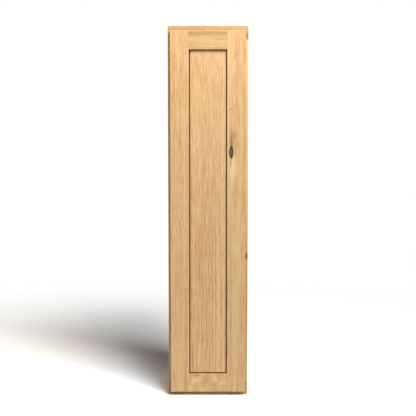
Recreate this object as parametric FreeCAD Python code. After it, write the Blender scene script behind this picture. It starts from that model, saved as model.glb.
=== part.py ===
"""Tall, narrow kitchen wall cabinet with a face frame and one recessed-panel door, in millimetres.

X runs to the right of someone who faces the door, Y runs back to the wall and Z runs up.
The origin lies on the ground, under the middle of the closed cabinet.
"""
import FreeCAD
import Part
import math
import os

# Case: overall sizes, board thicknesses and joints
CASE_WIDTH = 228.6
CASE_HEIGHT = 1066.8
CASE_DEPTH = 304.8
SIDE_THICKNESS = 12.7
DECK_THICKNESS = 12.7
BACK_THICKNESS = 6.35
DADO_DEPTH = 6.35
HANGING_RAIL_THICKNESS = 12.7
HANGING_RAIL_HEIGHT = 76.2

# Face frame: its rails run the full width and its stiles are tenoned between them
FRAME_THICKNESS = 19.05
FRAME_STILE_WIDTH = 38.1
FRAME_RAIL_WIDTH = 38.1
FRAME_OVERHANG = 3.2
FRAME_GROOVE_DEPTH = 6.35
FRAME_EDGE_RADIUS = 0.8
TENON_THICKNESS = 6.35
TENON_LENGTH = 19.0
TENON_SHOULDER = 6.35
TENON_SETBACK = 4.8
TENON_END_CLEARANCE = 0.5

# Shelves and the pins that carry them
SHELF_COUNT = 3
SHELF_THICKNESS = 15.9
SHELF_SIDE_CLEARANCE = 1.0
SHELF_SETBACK = 12.0
SHELF_REAR_CLEARANCE = 2.0
SHELF_EDGE_RADIUS = 1.5
FIRST_SHELF_HEIGHT = 262.0
SHELF_SPACING = 240.0
PIN_RADIUS = 2.5
PIN_BARREL_LENGTH = 9.0
PIN_HOLE_EXTRA_DEPTH = 0.8
PIN_COLLAR_RADIUS = 4.0
PIN_COLLAR_THICKNESS = 0.8
PIN_TONGUE_LENGTH = 9.0
PIN_TONGUE_WIDTH = 7.0
PIN_TONGUE_THICKNESS = 2.0
PIN_GUSSET_DEPTH = 6.0
PIN_HOLE_PITCH = 32.0
PIN_HOLES_EACH_WAY = 2
PIN_COLUMN_INSET = 45.0

# Door: grooved stiles and rails round a panel whose field stands clear of them by a shadow gap
DOOR_SIDE_REVEAL = 6.35
DOOR_END_REVEAL = 12.7
DOOR_THICKNESS = 19.05
DOOR_GAP = 3.2
DOOR_STILE_WIDTH = 53.4
DOOR_RAIL_WIDTH = 53.2
DOOR_EDGE_RADIUS = 1.5
GROOVE_WIDTH = 6.35
GROOVE_DEPTH = 9.5
GROOVE_SETBACK = 9.5
PANEL_EDGE_CLEARANCE = 4.5
PANEL_FIELD_RECESS = 7.5
PANEL_SHADOW_GAP = 3.5
PANEL_FIELD_RADIUS = 0.8
SPACER_RADIUS = 2.9
BUMPER_RADIUS = 4.8
BUMPER_CROWN_RADIUS = 2.8
BUMPER_INSET = 15.0
BUMPER_AIR = 0.1

# Concealed hinges: a cup let into the door turns on a pin in the eye of a cranked arm
HINGE_COUNT = 3
HINGE_END_DISTANCE = 89.0
HINGE_PIN_RADIUS = 1.25
HINGE_PIN_PLAY = 0.05
HINGE_PIN_DEPTH = 8.0
EYE_WALL = 1.2
EYE_HALF_LENGTH = 5.0
SWING_CLEARANCE = 0.6
CUP_BORE_RADIUS = 17.5
CUP_FIT = 0.05
CUP_WALL = 0.85
CUP_FLOOR = 0.9
CUP_CORNER_RADIUS = 2.0
CUP_INNER_CLEARANCE = 0.35
CUP_BORE_EXTRA_DEPTH = 0.3
FLANGE_THICKNESS = 1.2
FLANGE_RIM = 1.8
FLANGE_EAR_RADIUS = 6.5
CUP_SCREW_SPACING = 45.0
CUP_SCREW_OFFSET = 9.5
ARM_THICKNESS = 2.0
ARM_BEND_RADIUS = 4.0
ARM_NECK_HALF_WIDTH = 6.0
ARM_FOOT_HALF_WIDTH = 9.0
ARM_FOOT_RADIUS = 4.0
ARM_SLOT_LENGTH = 7.0
ARM_SHOULDER_SETBACK = 1.0
ARM_FLANGE_START = 12.5
ARM_FLANGE_HEIGHT = 3.5
ARM_FLANGE_THICKNESS = 1.2
PLATE_THICKNESS = 1.5
PLATE_HEIGHT = 50.0
PLATE_FRONT_SETBACK = 1.5
PLATE_WRAP = 14.0
PLATE_CORNER_RADIUS = 4.0
PLATE_SCREW_SPACING = 34.0
WRAP_SCREW_SPACING = 17.0
WRAP_SCREW_INSET = 6.0
DAMPER_LENGTH = 15.0
DAMPER_RADIUS = 3.4
DAMPER_END_RADIUS = 1.1
DAMPER_CLEARANCE = 0.8

# Screws
SCREW_SHANK_RADIUS = 1.6
SCREW_HEAD_RADIUS = 3.2
SCREW_HEAD_HEIGHT = 1.6
SCREW_CROWN_RADIUS = 1.8
SCREW_CHEEK_HEIGHT = 0.7
SCREW_TIP_LENGTH = 3.0
SCREW_HOLE_CLEARANCE = 0.2
PLATE_SCREW_LENGTH = 15.0
WRAP_SCREW_LENGTH = 12.0
CUP_SCREW_LENGTH = 14.0
ARM_SCREW_LENGTH = 14.0

# Places worked out from the sizes above
TOTAL_DEPTH = CASE_DEPTH + DOOR_GAP + DOOR_THICKNESS
DOOR_FRONT = -TOTAL_DEPTH / 2
DOOR_BACK = DOOR_FRONT + DOOR_THICKNESS
FRAME_FRONT = DOOR_BACK + DOOR_GAP
FRAME_BACK = FRAME_FRONT + FRAME_THICKNESS
CASE_REAR = TOTAL_DEPTH / 2
BACK_REAR = CASE_REAR - HANGING_RAIL_THICKNESS
BACK_FRONT = BACK_REAR - BACK_THICKNESS
GROOVED_FRONT = FRAME_BACK - FRAME_GROOVE_DEPTH
SIDE_OUTER = CASE_WIDTH / 2 - FRAME_OVERHANG
SIDE_INNER = SIDE_OUTER - SIDE_THICKNESS
DADO_FLOOR = SIDE_INNER + DADO_DEPTH
LOWER_DECK = FRAME_RAIL_WIDTH
UPPER_DECK = CASE_HEIGHT - FRAME_RAIL_WIDTH
STILE_INNER = CASE_WIDTH / 2 - FRAME_STILE_WIDTH
DOOR_HALF = CASE_WIDTH / 2 - DOOR_SIDE_REVEAL
DOOR_BOTTOM = DOOR_END_REVEAL
DOOR_TOP = CASE_HEIGHT - DOOR_END_REVEAL
DOOR_MIDDLE = (DOOR_BOTTOM + DOOR_TOP) / 2
OPENING_HALF = DOOR_HALF - DOOR_STILE_WIDTH
OPENING_BOTTOM = DOOR_BOTTOM + DOOR_RAIL_WIDTH
OPENING_TOP = DOOR_TOP - DOOR_RAIL_WIDTH
GROOVE_FRONT = DOOR_FRONT + GROOVE_SETBACK
GROOVE_BACK = GROOVE_FRONT + GROOVE_WIDTH
PANEL_REACH = GROOVE_DEPTH - PANEL_EDGE_CLEARANCE

# The hinge pin stands as far in from the door's edge as lets the edge swing past the frame
EYE_RADIUS = HINGE_PIN_RADIUS + HINGE_PIN_PLAY + EYE_WALL
PIN_HEIGHT = DOOR_GAP + HINGE_PIN_DEPTH
PIN_INSET = DOOR_EDGE_RADIUS + math.sqrt(
    (PIN_HEIGHT - SWING_CLEARANCE - DOOR_EDGE_RADIUS) ** 2 - (HINGE_PIN_DEPTH - DOOR_EDGE_RADIUS) ** 2
)
HINGE_X = -DOOR_HALF + PIN_INSET
HINGE_Y = DOOR_BACK - HINGE_PIN_DEPTH
CUP_OUTER_RADIUS = CUP_BORE_RADIUS - CUP_FIT
CUP_INNER_RADIUS = CUP_OUTER_RADIUS - CUP_WALL
CUP_INNER_DEPTH = HINGE_PIN_DEPTH + EYE_RADIUS + CUP_INNER_CLEARANCE
CUP_DEPTH = CUP_INNER_DEPTH + CUP_FLOOR
EYE_CHORD = math.sqrt(CUP_INNER_RADIUS ** 2 - EYE_HALF_LENGTH ** 2)
CUP_X = HINGE_X - EYE_RADIUS - CUP_INNER_CLEARANCE + EYE_CHORD
ARM_FACE = -STILE_INNER + PLATE_THICKNESS + ARM_THICKNESS
ARM_SCREW_Y = FRAME_FRONT + FRAME_THICKNESS / 2


def vector(x, y, z):
    """A point or direction."""
    return FreeCAD.Vector(x, y, z)


def board(x, y, z):
    """A square-edged board between two limits on each axis."""
    return Part.makeBox(x[1] - x[0], y[1] - y[0], z[1] - z[0], vector(x[0], y[0], z[0]))


def rod(radius, start, end):
    """A round bar between two points."""
    along = end.sub(start)
    return Part.makeCylinder(radius, along.Length, start, along)


def prism(points, along):
    """A solid drawn out from a flat outline of straight edges."""
    return Part.Face(Part.makePolygon(points + points[:1])).extrude(along)


def eased(shape, radius, *tests):
    """Rounds the edges whose ends all pass the tests."""
    edges = [edge for edge in shape.Edges if all(test(v.Point) for v in edge.Vertexes for test in tests)]
    return shape.makeFillet(radius, edges)


def at(axis, place):
    """A test for points that lie at one place along an axis."""
    return lambda point: abs(getattr(point, axis) - place) < 1e-6


def mirrored(shape):
    """The same piece for the other side of the cabinet."""
    return shape.mirror(vector(0, 0, 0), vector(1, 0, 0))


def upturned(shape, middle):
    """The same piece turned over about a level plane."""
    return shape.mirror(vector(0, 0, middle), vector(0, 0, 1))


def screw(length):
    """A pan-head screw whose head sits on the ground plane and whose point is below it."""
    profile = [
        vector(0, 0, SCREW_HEAD_HEIGHT),
        vector(SCREW_CROWN_RADIUS, 0, SCREW_HEAD_HEIGHT),
        vector(SCREW_HEAD_RADIUS, 0, SCREW_CHEEK_HEIGHT),
        vector(SCREW_HEAD_RADIUS, 0, 0),
        vector(SCREW_SHANK_RADIUS, 0, 0),
        vector(SCREW_SHANK_RADIUS, 0, SCREW_TIP_LENGTH - length),
        vector(0, 0, -length),
    ]
    section = Part.Face(Part.makePolygon(profile + profile[:1]))
    return section.revolve(vector(0, 0, 0), vector(0, 0, 1), 360)


def driven(length, head, outward):
    """A screw whose head seats at a point, with its point driven the other way."""
    piece = screw(length)
    piece.Placement = FreeCAD.Placement(head, FreeCAD.Rotation(vector(0, 0, 1), outward))
    return piece


def hinge_heights():
    """The heights of the hinges' middles, evenly spaced between the end ones."""
    lowest = DOOR_BOTTOM + HINGE_END_DISTANCE
    step = (DOOR_TOP - HINGE_END_DISTANCE - lowest) / (HINGE_COUNT - 1)
    return [lowest + step * index for index in range(HINGE_COUNT)]


def shelf_heights():
    """The heights of the shelves' undersides."""
    return [LOWER_DECK + FIRST_SHELF_HEIGHT + SHELF_SPACING * index for index in range(SHELF_COUNT)]


def pin_columns():
    """The front and rear places of the shelf pins."""
    return [FRAME_BACK + PIN_COLUMN_INSET, BACK_FRONT - PIN_COLUMN_INSET]


# Case


def left_side():
    """Side panel with dados for the decks, a groove for the back and rows of shelf-pin holes."""
    side = board((-SIDE_OUTER, -SIDE_INNER), (GROOVED_FRONT, CASE_REAR), (0, CASE_HEIGHT))
    joint = (-DADO_FLOOR, -SIDE_INNER)
    cuts = [
        board(joint, (GROOVED_FRONT, BACK_REAR), (LOWER_DECK - DECK_THICKNESS, LOWER_DECK)),
        board(joint, (GROOVED_FRONT, BACK_REAR), (UPPER_DECK, UPPER_DECK + DECK_THICKNESS)),
        board(joint, (BACK_FRONT, BACK_REAR), (0, CASE_HEIGHT)),
    ]
    depth = PIN_BARREL_LENGTH + PIN_HOLE_EXTRA_DEPTH
    for height in shelf_heights():
        for step in range(-PIN_HOLES_EACH_WAY, PIN_HOLES_EACH_WAY + 1):
            level = height - PIN_COLLAR_RADIUS + step * PIN_HOLE_PITCH
            for column in pin_columns():
                mouth = vector(-SIDE_INNER, column, level)
                cuts.append(rod(PIN_RADIUS, mouth, mouth.add(vector(-depth, 0, 0))))
    return side.cut(cuts)


def lower_deck():
    """Bottom panel, housed in the sides and rabbeted into the frame's lower rail."""
    thickness = (LOWER_DECK - DECK_THICKNESS, LOWER_DECK)
    return board((-DADO_FLOOR, DADO_FLOOR), (GROOVED_FRONT, BACK_FRONT), thickness)


def back_panel():
    """Thin back, captured in the sides' grooves."""
    return board((-DADO_FLOOR, DADO_FLOOR), (BACK_FRONT, BACK_REAR), (0, CASE_HEIGHT))


def lower_hanging_rail():
    """Rail behind the back through which the cabinet is screwed to the wall."""
    return board((-SIDE_INNER, SIDE_INNER), (BACK_REAR, CASE_REAR), (0, HANGING_RAIL_HEIGHT))


def tenon(end, overrun):
    """Tongue on a left stile's lower end, running down from the rail's edge."""
    across = (-CASE_WIDTH / 2 + TENON_SHOULDER, -STILE_INNER - TENON_SHOULDER)
    through = (FRAME_FRONT + TENON_SETBACK, FRAME_FRONT + TENON_SETBACK + TENON_THICKNESS)
    return board(across, through, (FRAME_RAIL_WIDTH - TENON_LENGTH - overrun, end))


def frame_lower_rail():
    """Full-width rail, grooved for the sides, rabbeted for the deck and mortised for the stiles."""
    rail = board((-CASE_WIDTH / 2, CASE_WIDTH / 2), (FRAME_FRONT, FRAME_BACK), (0, FRAME_RAIL_WIDTH))
    rail = eased(rail, FRAME_EDGE_RADIUS, at("y", FRAME_FRONT), lambda p: p.z < FRAME_RAIL_WIDTH / 2)
    groove = board((-SIDE_OUTER, -SIDE_INNER), (GROOVED_FRONT, FRAME_BACK), (0, FRAME_RAIL_WIDTH))
    mortise = tenon(FRAME_RAIL_WIDTH, TENON_END_CLEARANCE)
    return rail.cut([groove, mirrored(groove), mortise, mirrored(mortise), lower_deck()])


def frame_left_stile():
    """Upright with a tenon at each end and a groove behind for the side panel."""
    length = (FRAME_RAIL_WIDTH, CASE_HEIGHT - FRAME_RAIL_WIDTH)
    stile = board((-CASE_WIDTH / 2, -STILE_INNER), (FRAME_FRONT, FRAME_BACK), length)
    stile = eased(stile, FRAME_EDGE_RADIUS, at("y", FRAME_FRONT), at("x", -CASE_WIDTH / 2))
    stile = stile.cut(board((-SIDE_OUTER, -SIDE_INNER), (GROOVED_FRONT, FRAME_BACK), length))
    foot = tenon(FRAME_RAIL_WIDTH + TENON_SHOULDER, 0)
    return stile.fuse([foot, upturned(foot, CASE_HEIGHT / 2)]).removeSplitter()


def shelf(height):
    """Loose shelf with a softened front edge."""
    plank = board(
        (SHELF_SIDE_CLEARANCE - SIDE_INNER, SIDE_INNER - SHELF_SIDE_CLEARANCE),
        (FRAME_BACK + SHELF_SETBACK, BACK_FRONT - SHELF_REAR_CLEARANCE),
        (height, height + SHELF_THICKNESS),
    )
    return eased(plank, SHELF_EDGE_RADIUS, at("y", FRAME_BACK + SHELF_SETBACK), lambda p: True)


def shelf_pin(column, height):
    """Spoon pin in the left side: a barrel, a collar and a flat tongue under the shelf."""
    level = height - PIN_COLLAR_RADIUS
    mouth = vector(-SIDE_INNER, column, level)
    barrel = rod(PIN_RADIUS, mouth.add(vector(-PIN_BARREL_LENGTH, 0, 0)), mouth)
    collar = rod(PIN_COLLAR_RADIUS, mouth, mouth.add(vector(PIN_COLLAR_THICKNESS, 0, 0)))
    tip = PIN_COLLAR_THICKNESS + PIN_TONGUE_LENGTH
    gusset = [
        (0, 0),
        (tip, 0),
        (tip, -PIN_TONGUE_THICKNESS),
        (PIN_COLLAR_THICKNESS, -PIN_GUSSET_DEPTH),
        (0, -PIN_GUSSET_DEPTH),
    ]
    near = column - PIN_TONGUE_WIDTH / 2
    outline = [vector(x - SIDE_INNER, near, height + z) for x, z in gusset]
    spoon = prism(outline, vector(0, PIN_TONGUE_WIDTH, 0))
    return barrel.fuse([collar, spoon]).removeSplitter()


def shelf_pins(height):
    """The four pins under one shelf."""
    left = [shelf_pin(column, height) for column in pin_columns()]
    return Part.makeCompound(left + [mirrored(pin) for pin in left])


# Door


def door_left_stile():
    """Upright of the door, grooved along its inner edge, with softened outer edges."""
    inner = -OPENING_HALF
    outline = [
        (-DOOR_HALF, DOOR_FRONT),
        (inner, DOOR_FRONT),
        (inner, GROOVE_FRONT),
        (inner - GROOVE_DEPTH, GROOVE_FRONT),
        (inner - GROOVE_DEPTH, GROOVE_BACK),
        (inner, GROOVE_BACK),
        (inner, DOOR_BACK),
        (-DOOR_HALF, DOOR_BACK),
    ]
    stile = prism([vector(x, y, DOOR_BOTTOM) for x, y in outline], vector(0, 0, DOOR_TOP - DOOR_BOTTOM))
    for face in (DOOR_FRONT, DOOR_BACK):
        outer = [
            edge for edge in stile.Edges
            if all(at("y", face)(v.Point) for v in edge.Vertexes)
            and not all(at("x", inner)(v.Point) for v in edge.Vertexes)
        ]
        stile = stile.makeFillet(DOOR_EDGE_RADIUS, outer)
    return stile


def door_lower_rail():
    """Cross rail of the door, grooved along its upper edge, with a tongue in each stile's groove."""
    outline = [
        (DOOR_FRONT, DOOR_BOTTOM),
        (DOOR_BACK, DOOR_BOTTOM),
        (DOOR_BACK, OPENING_BOTTOM),
        (GROOVE_BACK, OPENING_BOTTOM),
        (GROOVE_BACK, OPENING_BOTTOM - GROOVE_DEPTH),
        (GROOVE_FRONT, OPENING_BOTTOM - GROOVE_DEPTH),
        (GROOVE_FRONT, OPENING_BOTTOM),
        (DOOR_FRONT, OPENING_BOTTOM),
    ]
    rail = prism([vector(-OPENING_HALF, y, z) for y, z in outline], vector(2 * OPENING_HALF, 0, 0))
    for face in (DOOR_FRONT, DOOR_BACK):
        rail = eased(rail, DOOR_EDGE_RADIUS, at("y", face), at("z", DOOR_BOTTOM))
    tongue = board(
        (-OPENING_HALF - GROOVE_DEPTH, OPENING_HALF + GROOVE_DEPTH),
        (GROOVE_FRONT, GROOVE_BACK),
        (DOOR_BOTTOM, OPENING_BOTTOM - GROOVE_DEPTH),
    )
    return rail.fuse(tongue).removeSplitter()


def door_panel():
    """Flat panel whose tongue floats in the grooves and whose field stands inside a shadow gap."""
    tongue = board(
        (-OPENING_HALF - PANEL_REACH, OPENING_HALF + PANEL_REACH),
        (GROOVE_FRONT, GROOVE_BACK),
        (OPENING_BOTTOM - PANEL_REACH, OPENING_TOP + PANEL_REACH),
    )
    field = board(
        (PANEL_SHADOW_GAP - OPENING_HALF, OPENING_HALF - PANEL_SHADOW_GAP),
        (DOOR_FRONT + PANEL_FIELD_RECESS, GROOVE_BACK),
        (OPENING_BOTTOM + PANEL_SHADOW_GAP, OPENING_TOP - PANEL_SHADOW_GAP),
    )
    field = eased(field, PANEL_FIELD_RADIUS, at("y", DOOR_FRONT + PANEL_FIELD_RECESS))
    return tongue.fuse(field).removeSplitter()


def panel_spacers():
    """Rubber plugs that keep the floating panel centred in the grooves."""
    middle = (GROOVE_FRONT + GROOVE_BACK) / 2
    edge = -OPENING_HALF - PANEL_REACH
    across = vector(-PANEL_EDGE_CLEARANCE, 0, 0)
    quarter = (OPENING_TOP - OPENING_BOTTOM) / 4
    upright = []
    for level in (OPENING_BOTTOM + quarter, DOOR_MIDDLE, OPENING_TOP - quarter):
        start = vector(edge, middle, level)
        upright.append(rod(SPACER_RADIUS, start, start.add(across)))
    start = vector(0, middle, OPENING_BOTTOM - PANEL_REACH)
    level = [rod(SPACER_RADIUS, start, start.add(vector(0, 0, -PANEL_EDGE_CLEARANCE)))]
    right = [mirrored(plug) for plug in upright]
    return Part.makeCompound(upright + right + level + [upturned(plug, DOOR_MIDDLE) for plug in level])


def door_bumpers():
    """Soft domes on the door's back that meet the frame as it closes."""
    domes = []
    for level in (DOOR_BOTTOM + BUMPER_INSET, DOOR_TOP - BUMPER_INSET):
        seat = vector(DOOR_HALF - BUMPER_INSET, DOOR_BACK, level)
        height = DOOR_GAP - BUMPER_AIR
        domes.append(Part.makeCone(BUMPER_RADIUS, BUMPER_CROWN_RADIUS, height, seat, vector(0, 1, 0)))
    return Part.makeCompound(domes)


# Hinges, drawn at the middle of one hinge and then set at each height


def hinge_cup():
    """Round cup with a screw flange, open to the arm and cross-drilled for the pin."""
    centre = vector(CUP_X, DOOR_BACK, 0)
    inward = vector(0, -1, 0)
    body = Part.makeCylinder(CUP_OUTER_RADIUS, CUP_DEPTH, centre, inward)
    body = eased(body, CUP_CORNER_RADIUS, at("y", DOOR_BACK - CUP_DEPTH))
    outward = vector(0, FLANGE_THICKNESS, 0)
    rim = Part.makeCylinder(CUP_BORE_RADIUS + FLANGE_RIM, FLANGE_THICKNESS, centre, vector(0, 1, 0))
    ear = vector(CUP_X + CUP_SCREW_OFFSET, DOOR_BACK, 0)
    strap = board(
        (ear.x - FLANGE_EAR_RADIUS, ear.x + FLANGE_EAR_RADIUS),
        (DOOR_BACK, DOOR_BACK + FLANGE_THICKNESS),
        (-CUP_SCREW_SPACING / 2, CUP_SCREW_SPACING / 2),
    )
    holes = []
    ears = []
    for level in (-CUP_SCREW_SPACING / 2, CUP_SCREW_SPACING / 2):
        seat = ear.add(vector(0, 0, level))
        ears.append(rod(FLANGE_EAR_RADIUS, seat, seat.add(outward)))
        holes.append(rod(SCREW_SHANK_RADIUS + SCREW_HOLE_CLEARANCE, seat, seat.add(outward)))
    hollow = rod(CUP_INNER_RADIUS, centre.add(outward), centre.add(vector(0, -CUP_INNER_DEPTH, 0)))
    return body.fuse([rim, strap] + ears).cut(holes + [hollow, hinge_pin()]).removeSplitter()


def cup_bore():
    """The round pocket for one cup in the door's hinge stile."""
    mouth = vector(CUP_X, DOOR_BACK, 0)
    return rod(CUP_BORE_RADIUS, mouth, mouth.add(vector(0, -CUP_DEPTH - CUP_BORE_EXTRA_DEPTH, 0)))


def hinge_pin():
    """Pin across the cup, held in its wall at both ends."""
    chord = math.sqrt(CUP_OUTER_RADIUS ** 2 - (CUP_X - HINGE_X + HINGE_PIN_RADIUS) ** 2)
    return rod(HINGE_PIN_RADIUS, vector(HINGE_X, HINGE_Y, -chord), vector(HINGE_X, HINGE_Y, chord))


def hinge_arm():
    """Cranked arm: an eye on the pin, a strip across the cup, a flanged bend and a foot on its plate."""
    top = HINGE_Y - EYE_RADIUS
    under = top + ARM_THICKNESS
    face = ARM_FACE
    sole = face - ARM_THICKNESS
    turn = vector(face - ARM_BEND_RADIUS, top + ARM_BEND_RADIUS, 0)
    diagonal = math.sqrt(0.5)
    inner_radius = ARM_BEND_RADIUS - ARM_THICKNESS
    heel = FRAME_BACK - PLATE_FRONT_SETBACK

    def bend(radius):
        return turn.add(vector(radius * diagonal, -radius * diagonal, 0))

    strip = Part.Wire([
        Part.makeLine(vector(HINGE_X, top, 0), vector(turn.x, top, 0)),
        Part.Arc(vector(turn.x, top, 0), bend(ARM_BEND_RADIUS), vector(face, turn.y, 0)).toShape(),
        Part.makeLine(vector(face, turn.y, 0), vector(face, heel, 0)),
        Part.makeLine(vector(face, heel, 0), vector(sole, heel, 0)),
        Part.makeLine(vector(sole, heel, 0), vector(sole, turn.y, 0)),
        Part.Arc(vector(sole, turn.y, 0), bend(inner_radius), vector(turn.x, under, 0)).toShape(),
        Part.makeLine(vector(turn.x, under, 0), vector(HINGE_X, under, 0)),
        Part.makeLine(vector(HINGE_X, under, 0), vector(HINGE_X, top, 0)),
    ])
    blank = Part.Face(strip).extrude(vector(0, 0, 2 * ARM_FOOT_HALF_WIDTH))
    blank.translate(vector(0, 0, -ARM_FOOT_HALF_WIDTH))
    for corner in (-ARM_FOOT_HALF_WIDTH, ARM_FOOT_HALF_WIDTH):
        blank = eased(blank, ARM_FOOT_RADIUS, at("y", heel), at("z", corner))
    trims = []
    shoulder = FRAME_FRONT - ARM_SHOULDER_SETBACK
    gusset = [
        vector(HINGE_X + ARM_FLANGE_START, under, -EYE_HALF_LENGTH),
        vector(sole, under, -EYE_HALF_LENGTH),
        vector(sole, shoulder, -EYE_HALF_LENGTH),
        vector(sole - ARM_FLANGE_HEIGHT, under + ARM_FLANGE_HEIGHT, -EYE_HALF_LENGTH),
    ]
    flange = prism(gusset, vector(0, 0, ARM_FLANGE_THICKNESS))
    for side in (-1, 1):
        outline = [
            (HINGE_X - EYE_RADIUS, side * EYE_HALF_LENGTH),
            (HINGE_X + EYE_RADIUS, side * EYE_HALF_LENGTH),
            (turn.x, side * ARM_NECK_HALF_WIDTH),
            (face + ARM_THICKNESS, side * ARM_NECK_HALF_WIDTH),
            (face + ARM_THICKNESS, side * 2 * ARM_FOOT_HALF_WIDTH),
            (HINGE_X - EYE_RADIUS, side * 2 * ARM_FOOT_HALF_WIDTH),
        ]
        depth = vector(0, top - EYE_RADIUS - shoulder, 0)
        trims.append(prism([vector(x, shoulder, z) for x, z in outline], depth))
    half_eye = vector(0, 0, EYE_HALF_LENGTH)
    middle = vector(HINGE_X, HINGE_Y, 0)
    eye = rod(EYE_RADIUS, middle.sub(half_eye), middle.add(half_eye))
    bore = rod(HINGE_PIN_RADIUS + HINGE_PIN_PLAY, middle.sub(half_eye), middle.add(half_eye))
    folded = blank.cut(trims).fuse([eye, flange, upturned(flange, 0)])
    return folded.cut([bore, arm_slot()]).removeSplitter()


def arm_slot():
    """Adjusting slot in the arm's foot."""
    radius = SCREW_SHANK_RADIUS + SCREW_HOLE_CLEARANCE
    reach = ARM_SLOT_LENGTH / 2 - radius
    across = vector(ARM_THICKNESS, 0, 0)
    ends = [vector(ARM_FACE - ARM_THICKNESS, ARM_SCREW_Y + end, 0) for end in (-reach, reach)]
    middle = board(
        (ARM_FACE - ARM_THICKNESS, ARM_FACE),
        (ARM_SCREW_Y - reach, ARM_SCREW_Y + reach),
        (-radius, radius),
    )
    return middle.fuse([rod(radius, end, end.add(across)) for end in ends])


def mounting_plate():
    """Angle plate that wraps the frame stile's inner edge and back."""
    edge = -STILE_INNER
    face = edge + PLATE_THICKNESS
    front = FRAME_FRONT + PLATE_FRONT_SETBACK
    back = FRAME_BACK + PLATE_THICKNESS
    half = PLATE_HEIGHT / 2
    outline = [
        (edge, front),
        (face, front),
        (face, back),
        (edge - PLATE_WRAP, back),
        (edge - PLATE_WRAP, FRAME_BACK),
        (edge, FRAME_BACK),
    ]
    plate = prism([vector(x, y, -half) for x, y in outline], vector(0, 0, 2 * half))
    for corner in (-half, half):
        plate = eased(plate, PLATE_CORNER_RADIUS, at("y", front), at("z", corner))
        plate = eased(plate, PLATE_CORNER_RADIUS, at("x", edge - PLATE_WRAP), at("z", corner))
    plate = eased(plate, PLATE_THICKNESS, at("x", face), at("y", back))
    radius = SCREW_SHANK_RADIUS + SCREW_HOLE_CLEARANCE
    holes = []
    for level in (-PLATE_SCREW_SPACING / 2, 0, PLATE_SCREW_SPACING / 2):
        start = vector(edge, ARM_SCREW_Y, level)
        holes.append(rod(radius, start, start.add(vector(PLATE_THICKNESS, 0, 0))))
    for level in (-WRAP_SCREW_SPACING / 2, WRAP_SCREW_SPACING / 2):
        start = vector(edge - PLATE_WRAP + WRAP_SCREW_INSET, FRAME_BACK, level)
        holes.append(rod(radius, start, start.add(vector(0, PLATE_THICKNESS, 0))))
    return plate.cut(holes)


def damper():
    """Closing damper: a small round-ended capsule lying in the cup above the arm."""
    level = ARM_NECK_HALF_WIDTH + DAMPER_CLEARANCE + DAMPER_RADIUS
    depth = DOOR_BACK - CUP_INNER_DEPTH + DAMPER_RADIUS
    start = vector(CUP_X - DAMPER_LENGTH / 2, depth, level)
    capsule = rod(DAMPER_RADIUS, start, start.add(vector(DAMPER_LENGTH, 0, 0)))
    return capsule.makeFillet(DAMPER_END_RADIUS, [edge for edge in capsule.Edges if edge.Closed])


def plate_screws():
    """Two screws into the frame stile's edge and two into its back."""
    edge = -STILE_INNER + PLATE_THICKNESS
    screws = []
    for level in (-PLATE_SCREW_SPACING / 2, PLATE_SCREW_SPACING / 2):
        screws.append(driven(PLATE_SCREW_LENGTH, vector(edge, ARM_SCREW_Y, level), vector(1, 0, 0)))
    inset = -STILE_INNER - PLATE_WRAP + WRAP_SCREW_INSET
    for level in (-WRAP_SCREW_SPACING / 2, WRAP_SCREW_SPACING / 2):
        seat = vector(inset, FRAME_BACK + PLATE_THICKNESS, level)
        screws.append(driven(WRAP_SCREW_LENGTH, seat, vector(0, 1, 0)))
    return screws


def arm_screw():
    """The adjusting screw that clamps the arm's foot to its plate and the stile."""
    return driven(ARM_SCREW_LENGTH, vector(ARM_FACE, ARM_SCREW_Y, 0), vector(1, 0, 0))


def cup_screws():
    """The two screws that hold one cup's flange to the door."""
    seat = vector(CUP_X + CUP_SCREW_OFFSET, DOOR_BACK + FLANGE_THICKNESS, 0)
    spread = vector(0, 0, CUP_SCREW_SPACING / 2)
    places = (seat.sub(spread), seat.add(spread))
    return [driven(CUP_SCREW_LENGTH, place, vector(0, 1, 0)) for place in places]


def at_each_hinge(shapes):
    """Copies of some shapes at every hinge's height."""
    return [shape.translated(vector(0, 0, height)) for height in hinge_heights() for shape in shapes]


def level_name(index, count):
    """The word for one of a row of hinges or shelves, counted from the bottom."""
    if index == 0:
        return "lower"
    if index == count - 1:
        return "upper"
    return "middle" if count == 3 else f"middle_{index}"


def case_parts():
    """The case, its face frame and its shelves, by name."""
    side = left_side()
    deck = lower_deck()
    hanging_rail = lower_hanging_rail()
    rail = frame_lower_rail()
    stile = frame_left_stile()
    parts = {
        "left_side": side,
        "right_side": mirrored(side),
        "bottom_panel": deck,
        "top_panel": upturned(deck, CASE_HEIGHT / 2),
        "back_panel": back_panel(),
        "lower_hanging_rail": hanging_rail,
        "upper_hanging_rail": upturned(hanging_rail, CASE_HEIGHT / 2),
        "frame_lower_rail": rail,
        "frame_upper_rail": upturned(rail, CASE_HEIGHT / 2),
        "frame_left_stile": stile.cut(at_each_hinge(plate_screws() + [arm_screw()])),
        "frame_right_stile": mirrored(stile),
    }
    for index, height in enumerate(shelf_heights()):
        level = level_name(index, SHELF_COUNT)
        parts[f"{level}_shelf"] = shelf(height)
        parts[f"{level}_shelf_pins"] = shelf_pins(height)
    return parts


def door_parts():
    """The door without its hinges, by name."""
    stile = door_left_stile()
    rail = door_lower_rail()
    return {
        "door_hinge_stile": stile.cut(at_each_hinge([cup_bore()] + cup_screws())),
        "door_latch_stile": mirrored(stile),
        "door_lower_rail": rail,
        "door_upper_rail": upturned(rail, DOOR_MIDDLE),
        "door_panel": door_panel(),
        "panel_spacers": panel_spacers(),
        "door_bumpers": door_bumpers(),
    }


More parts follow.
